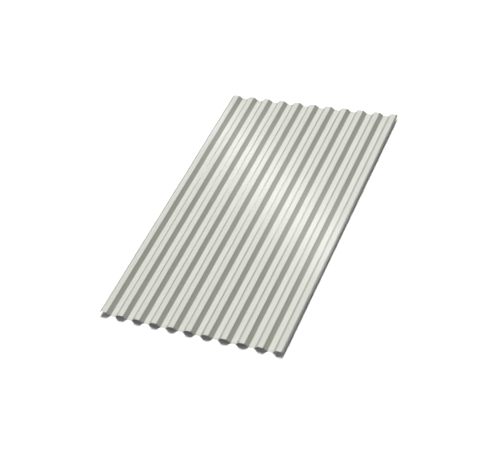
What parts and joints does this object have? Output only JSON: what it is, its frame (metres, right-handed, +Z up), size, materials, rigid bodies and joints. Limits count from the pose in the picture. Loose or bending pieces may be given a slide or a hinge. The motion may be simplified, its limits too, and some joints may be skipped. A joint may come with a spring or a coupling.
{
  "type": "profiled metal sheet",
  "caption": "Roll-formed steel sheet with flat-topped trapezoidal waves along its length and a painted light grey-white face, for roofs, walls and fences.",
  "frame": {"origin": "middle of the sheet, on the plane that the undersides of its valleys rest on", "axes": "+X across the waves, +Y along the waves, +Z up, out of the painted face"},
  "size_m": [1.0483, 1.72, 0.021],
  "materials": {
    "coated_steel": "satin"
  },
  "bodies": {
    "root": {"profiled_sheet": "coated_steel"}
  },
  "joints": []
}
